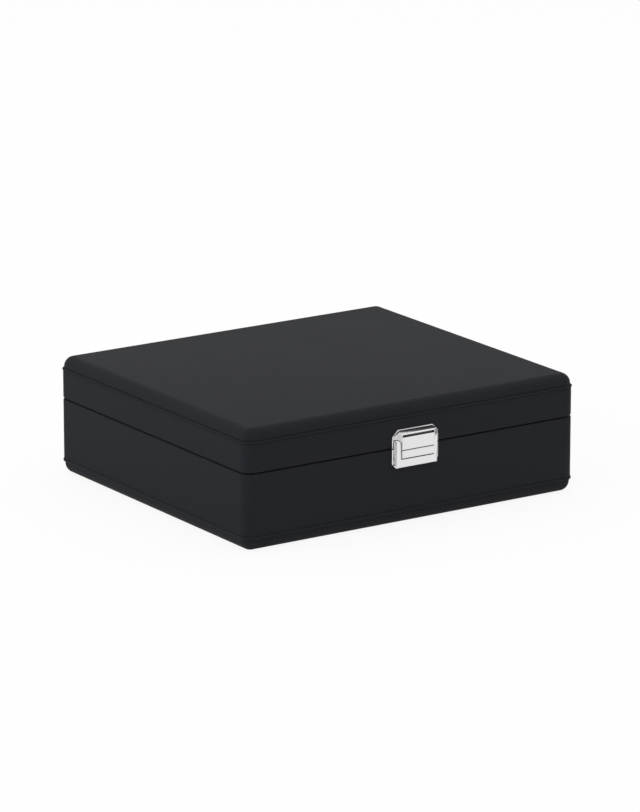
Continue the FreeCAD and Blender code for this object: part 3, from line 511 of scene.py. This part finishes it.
def makeScrews(spec):
    tree = screwTree()
    for name, (node, body, tilt) in spec["sets"].items():
        low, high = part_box(node)
        face = high.z if tilt == 0 else low.z
        length = high.z - low.z - spec["headDepth"]
        mesh = grownMesh(tree, {
            "Middle": Vector((-(spec["spacing"] + spec["pitch"]) / 2, (low.y + high.y) / 2, face)),
            "Spacing": (spec["spacing"], 0, 0), "Pitch": (spec["pitch"], 0, 0),
            "Turn": (math.radians(tilt), 0, math.radians(spec["twist"])),
            "Head Radius": spec["headRadius"], "Head Depth": spec["headDepth"],
            "Head Sides": spec["headSides"], "Head Place": (0, 0, -spec["headDepth"]),
            "Shank Radius": spec["shankRadius"], "Shank Length": length,
            "Shank Sides": spec["shankSides"], "Shank Place": (0, 0, -spec["headDepth"] - length / 2),
            "Long Slot": (spec["slotReach"], spec["slotWidth"], spec["slotDepth"] * 2),
            "Cross Slot": (spec["slotWidth"], spec["slotReach"], spec["slotDepth"] * 2),
            "Finish": finishes["steel"]})
        show(gathered([mesh], name, spec["sharp"]), name, body, [node])


makeScrews(screws)
print("hinge screws made")


# folds: leather and linings turned over the edges of their boards

folds = {
    "leather": {"width": 0.22 * mm, "segments": 3, "angle": 28, "nodes": {
        "base_side_leather": "baseSides", "lid_side_leather": "lidSides", "base_bead": "baseBead",
        "lid_bead": "lidBead", "drawer_front_leather": "drawerFront", "base_bottom_leather": "baseFoot",
        "lid_top_leather": "lidTop"}},
    "suede": {"width": 0.5 * mm, "segments": 3, "angle": 28, "nodes": {
        "tray_wall_lining": "trayLining", "lid_wall_lining": "lidLining",
        "base_floor_lining": "floorLining"}},
}


def makeFolds(spec):
    for look in spec.values():
        for node, name in look["nodes"].items():
            mesh = edged(welded(node), {**look, "finishes": [finishes[slotOf[node]]]})
            show(mesh, name, bodyOf[node], [node])


makeFolds(folds)
print("leather and linings folded")


# clasp: painted highlights on its edges, satin flanks with painted shade, and painted shade where its pieces
# meet

clasp = {
    "names": {"clasp_hood": "claspHood", "clasp_lever": "claspLever", "clasp_lid_plate": "claspLidPlate",
              "clasp_base_plate": "claspBasePlate"},
    "finishes": [
        finishes["chrome"],
        # satin finish whose darker colour is painted shade, for the flanks, the plate's top and where lever
        # and keeper meet
        chrome("chromeSatin", colour(0.62, 0.62, 0.63), 0.42),
        # painted highlight, near white, for the rounded edges
        chrome("chromeBright", colour(0.97, 0.97, 0.97)),
        # painted shade, near black, for the groove and the faces hidden where lever and keeper meet
        chrome("chromeBare", colour(0.05, 0.05, 0.055)),
    ],
    "plain": 0, "satinShaded": 1, "paintedHighlight": 2, "paintedShade": 3,   # their places in that list
    "width": 0.12 * mm, "segments": 2, "angle": 24,   # of the rounded edges
    "faceHalf": 11.0 * mm,                         # half the hood's width at its face
    "groove": (52.1 * mm, 53.25 * mm),             # the hood's groove as the node has it, low and high
    "grooveFloor": 51.8 * mm, "grooveDepth": 1.1 * mm,   # its low side as it is shown, and its depth
    "shoulder": (54.25 * mm, 1.2 * mm),            # its top and its depth as the node has it
    "shoulderSeen": (54.15 * mm, 0.9 * mm),        # the same as they are shown
    "roofDrop": 0.32 * mm,                         # from the plate's top to the roof's back edge
    "cornerCut": 4.4 * mm,                         # from the plate's side in to the roof's corner
    "cheek": 0.2 * mm, "cheekProud": 0.03 * mm,
    "window": (11.45 * mm, 38.4 * mm, 51.8 * mm),  # half width, low and high of where lever and keeper meet
    "part": (43.6 * mm, 44.9 * mm),                # low and high of the line between tongue and keeper
    "near": 0.05 * mm,
    "facing": 0.5,                                 # a face looks along an axis from this much of its normal
    "upright": 0.1,                                # and a flank stands upright up to this much of Z
}


def hoodPlan(spec):                                # the hood's front and back, and how its flanks splay
    low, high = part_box("clasp_hood")
    return low.y, high.y, (high.x - spec["faceHalf"]) / (high.y - low.y)


def liftRoof(mesh, spec):                          # a slimmer shoulder, and a roof that rises to the plate
    front, back, splay = hoodPlan(spec)
    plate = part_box("clasp_lid_plate")[1]
    low, high = spec["groove"]
    topBefore, depthBefore = spec["shoulder"]
    top, depth = spec["shoulderSeen"]
    slope = (plate.z - spec["roofDrop"] - top) / (back - front - depth)
    for vertex in mesh.vertices:
        x, y, z = vertex.co
        if abs(z - low) < spec["near"]:
            vertex.co.z = spec["grooveFloor"]
        if z < high + spec["near"]:
            continue
        if y - front < depthBefore + spec["near"]:
            y = front + (y - front) * depth / depthBefore
            z = high + (z - high) * (top - high) / (topBefore - high)
        else:
            z = top + (y - front - depth) * slope
        corner = plate.x - spec["cornerCut"] + plate.z - z
        vertex.co = (math.copysign(min(spec["faceHalf"] + (y - front) * splay, corner), x), y, z)


def closeGroove(mesh, spec):                       # thin cheeks over the groove's ends, on the flanks
    front, _, splay = hoodPlan(spec)
    reach = spec["grooveDepth"] + spec["width"]
    low, high = spec["grooveFloor"] - spec["width"], spec["groove"][1] + spec["width"]
    build = bmesh.new()
    build.from_mesh(mesh)
    for side in (-1, 1):
        rings = []
        for outwards in (spec["cheekProud"], -spec["cheek"]):
            places = [(spec["faceHalf"] + depth * splay + outwards, front + depth, level)
                      for depth, level in ((0, low), (reach, low), (reach, high), (0, high))]
            rings.append([build.verts.new((x * side, y, z)) for x, y, z in places])
        made = [build.faces.new(ring) for ring in rings] + band(build, *rings)
        bmesh.ops.recalc_face_normals(build, faces=made)
    build.to_mesh(mesh)
    build.free()


def claspFinish(face, spec):                       # which of the clasp's finishes a face takes
    level, depth = face.center.z, face.center.y - hoodPlan(spec)[0]
    halfWidth, low, high = spec["window"]
    inWindow = abs(face.center.x) < halfWidth and low < level < high
    inGroove = spec["grooveFloor"] - spec["near"] < level < spec["groove"][1] + spec["near"]
    isFlank = abs(face.normal.x) > spec["facing"]
    # painted shade in the groove
    if inGroove and not isFlank and depth > spec["width"]:
        return spec["paintedShade"]
    if face.material_index == spec["paintedHighlight"]:      # a rounded edge: painted highlight, or the satin's painted shade where lever and keeper meet
        return spec["satinShaded"] if inWindow else spec["paintedHighlight"]
    # painted shade on the flat faces where lever and keeper meet, apart from the part line's satin
    if inWindow and abs(face.normal.z) > spec["facing"]:
        return spec["satinShaded"] if spec["part"][0] < level < spec["part"][1] else spec["paintedShade"]
    # upright flanks take the satin finish with its painted shade
    return spec["satinShaded"] if isFlank and abs(face.normal.z) < spec["upright"] else spec["plain"]


def makeClasp(spec):
    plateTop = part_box("clasp_lid_plate")[1].z - spec["width"]
    for node, name in spec["names"].items():
        mesh = welded(node)
        if node == "clasp_hood":
            liftRoof(mesh, spec)
        # the rounded edges take the painted highlight
        mesh = edged(mesh, {**spec, "edgeFinish": spec["paintedHighlight"]})
        if node == "clasp_hood":
            closeGroove(mesh, spec)
        for face in mesh.polygons:
            # the plate's top takes the satin finish with its painted shade
            isTop = node == "clasp_lid_plate" and face.center.z > plateTop
            face.material_index = spec["satinShaded"] if isTop else claspFinish(face, spec)
        show(mesh, name, bodyOf[node], [node])


makeClasp(clasp)
print("clasp finished")


# pads: thin cushions glued down on their boards, blown up a little and pulled in at the dividers

pads = {
    "cell": 5 * mm, "inset": 0.25 * mm,            # the grid's squares, and the gap round the pad
    "glued": "glued", "pressure": 4.0, "frames": 20, "subdivisions": 1,
    # side: where the soft face looks; start and seam: its heights at first, as shares of the solid's;
    # seams: how many cross X and how many cross Y
    "pieces": {
        "lidPad": {"node": "lid_pad", "side": -1, "start": 0.45, "seam": 0.45, "seams": (0, 0)},
        "trayPad": {"node": "tray_floor_pad", "side": 1, "start": 0.5, "seam": 0.3, "seams": (4, 3)},
        "drawerPad": {"node": "drawer_floor_pad", "side": 1, "start": 0.5, "seam": 0.3, "seams": (2, 0)},
    },
}


def gridStops(low, high, seams, spec):             # the grid's places along one side, and if each is a seam
    ends = [low + (high - low) * place / (seams + 1) for place in range(1, seams + 1)]
    ends = [low + spec["inset"], *ends, high - spec["inset"]]
    stops = []
    for start, stop in zip(ends, ends[1:]):
        steps = max(2, round((stop - start) / spec["cell"]))
        stops += [(start + (stop - start) * step / steps, step == 0) for step in range(steps)]
    return stops + [(ends[-1], True)]


def padMesh(name, part, spec):                     # a closed flat cushion, and which vertices the glue holds
    low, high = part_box(part["node"])
    across, along = [gridStops(low[axis], high[axis], part["seams"][axis], spec) for axis in (0, 1)]
    glued, soft = (low.z, high.z) if part["side"] > 0 else (high.z, low.z)
    build = bmesh.new()
    sheets = [{}, {}]                              # the glued face and the soft one
    for rise, sheet in enumerate(sheets):
        for column, (x, seamX) in enumerate(across):
            for row, (y, seamY) in enumerate(along):
                share = part["seam"] if seamX or seamY else part["start"]
                sheet[column, row] = build.verts.new((x, y, glued + (soft - glued) * share * rise))
    right, top = len(across) - 1, len(along) - 1
    for sheet in sheets:
        for column in range(right):
            for row in range(top):
                build.faces.new([sheet[column, row], sheet[column + 1, row], sheet[column + 1, row + 1],
                                 sheet[column, row + 1]])
    rim = [(column, 0) for column in range(right)] + [(right, row) for row in range(top)]
    rim += [(column, top) for column in range(right, 0, -1)] + [(0, row) for row in range(top, 0, -1)]
    band(build, *[[sheet[spot] for spot in rim] for sheet in sheets])
    bmesh.ops.recalc_face_normals(build, faces=build.faces)
    build.verts.index_update()
    held = [vertex.index for vertex in sheets[0].values()]
    held += [vertex.index for (column, row), vertex in sheets[1].items()
             if across[column][1] or along[row][1]]
    mesh = bpy.data.meshes.new(name)
    build.to_mesh(mesh)
    build.free()
    return mesh, held


def makePads(spec):
    items = {}
    for name, part in spec["pieces"].items():
        mesh, held = padMesh(name, part, spec)
        mesh.materials.append(finishes["suede"])
        item = show(mesh, name, bodyOf[part["node"]], [part["node"]])
        item.vertex_groups.new(name=spec["glued"]).add(held, 1.0, "REPLACE")
        items[name] = item
    blowUp(spec, items)
    for item in items.values():
        item.data.shade_smooth()
        smooth = item.modifiers.new("soft", "SUBSURF")
        smooth.levels = smooth.render_levels = spec["subdivisions"]


def blowUp(spec, items):
    for item in items.values():
        cloth = item.modifiers.new("cloth", "CLOTH")
        cloth.settings.use_pressure = True
        cloth.settings.uniform_pressure_force = spec["pressure"]
        cloth.settings.vertex_group_mass = spec["glued"]
        cloth.settings.effector_weights.gravity = 0
        cloth.collision_settings.use_collision = False
    for frameNumber in range(1, spec["frames"] + 1):
        bpy.context.scene.frame_set(frameNumber)
    for name, item in items.items():
        blown = bpy.data.meshes.new_from_object(item.evaluated_get(bpy.context.evaluated_depsgraph_get()))
        item.modifiers.clear()
        part = spec["pieces"][name]
        settle(item.data, blown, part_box(part["node"]), part["side"])
        bpy.data.meshes.remove(blown)
    bpy.context.scene.frame_set(1)


def settle(mesh, blown, box, side):                # its heights, with the crown kept within the node's box
    face = box[1].z if side > 0 else box[0].z
    rises = [(after.co.z - before.co.z) * side for before, after in zip(mesh.vertices, blown.vertices)]
    crown = max(range(len(rises)), key=rises.__getitem__)
    scale = min(1.0, (face - mesh.vertices[crown].co.z) * side / rises[crown])
    for vertex, rise in zip(mesh.vertices, rises):
        vertex.co.z += side * max(0.0, rise) * scale


makePads(pads)
print("pads made")


# studio: white paper floor, soft lamps and a white room

studio = {
    "floorHalf": 6.0, "floorDrop": 0.1 * mm, "floorColour": 0.9, "floorGlow": 0.9,
    "lamps": [                                     # name, where, aim, width, height, watts
        ("top", (0.25, 0.35, 1.6), (0, 0, 0), 2.4, 2.4, 8),
        ("left", (-1.9, 0.35, 0.9), (0, 0, 0.04), 1.2, 1.4, 10),
    ],
    "roomLight": 0.8,
    "rays": ("Is Camera Ray", "Is Glossy Ray", "Is Transmission Ray"),   # those that see plain white
}


def seesWhite(tree, rays):                         # 1 for those rays, 0 for the rays that light things
    seen = tree.add("LightPath", out=rays[0])
    for kind in rays[1:]:
        seen = seen.maths("MAXIMUM", tree.add("LightPath", out=kind))
    return seen


def makeFloor(spec):
    half = spec["floorHalf"]
    corners = [(-half, -half, 0), (half, -half, 0), (half, half, 0), (-half, half, 0)]
    mesh = bpy.data.meshes.new("floor")
    mesh.from_pydata(corners, [], [(0, 1, 2, 3)])
    paper = Finish("paper")
    lit = paper.add("BsdfDiffuse", {}, {"Color": colour(*(spec["floorColour"],) * 3)})
    glow = paper.add("Emission", {}, {"Color": colour(1, 1, 1), "Strength": 1.0})
    share = seesWhite(paper, spec["rays"]) * spec["floorGlow"]
    paper.add("OutputMaterial", {}, {"Surface": paper.add("MixShader", {}, {0: share, 1: lit, 2: glow})})
    mesh.materials.append(paper.material)
    item = bpy.data.objects.new("floor", mesh)
    item.location.z = -spec["floorDrop"]
    bpy.context.scene.collection.objects.link(item)


def makeLamps(spec):
    for name, where, aim, width, height, watts in spec["lamps"]:
        data = bpy.data.lights.new(name, "AREA")
        data.shape = "RECTANGLE"
        data.size = width
        data.size_y = height
        data.energy = watts
        item = bpy.data.objects.new(name, data)
        item.location = where
        item.rotation_mode = "QUATERNION"
        item.rotation_quaternion = (Vector(aim) - Vector(where)).to_track_quat("-Z", "Y")
        item.visible_glossy = False
        bpy.context.scene.collection.objects.link(item)


def makeRoom(spec):
    world = bpy.data.worlds.new("studio")
    world.use_nodes = True
    bpy.context.scene.world = world
    room = Tree(world.node_tree)
    room.tree.nodes.clear()
    lit, white = [room.add("Background", {}, {"Color": colour(1, 1, 1), "Strength": strength})
                  for strength in (spec["roomLight"], 1.0)]
    shade = room.add("MixShader", {}, {0: seesWhite(room, spec["rays"]), 1: lit, 2: white})
    room.add("OutputWorld", {}, {"Surface": shade})


makeFloor(studio)
makeLamps(studio)
makeRoom(studio)
bpy.context.scene.view_settings.view_transform = "Standard"
print("studio lit")
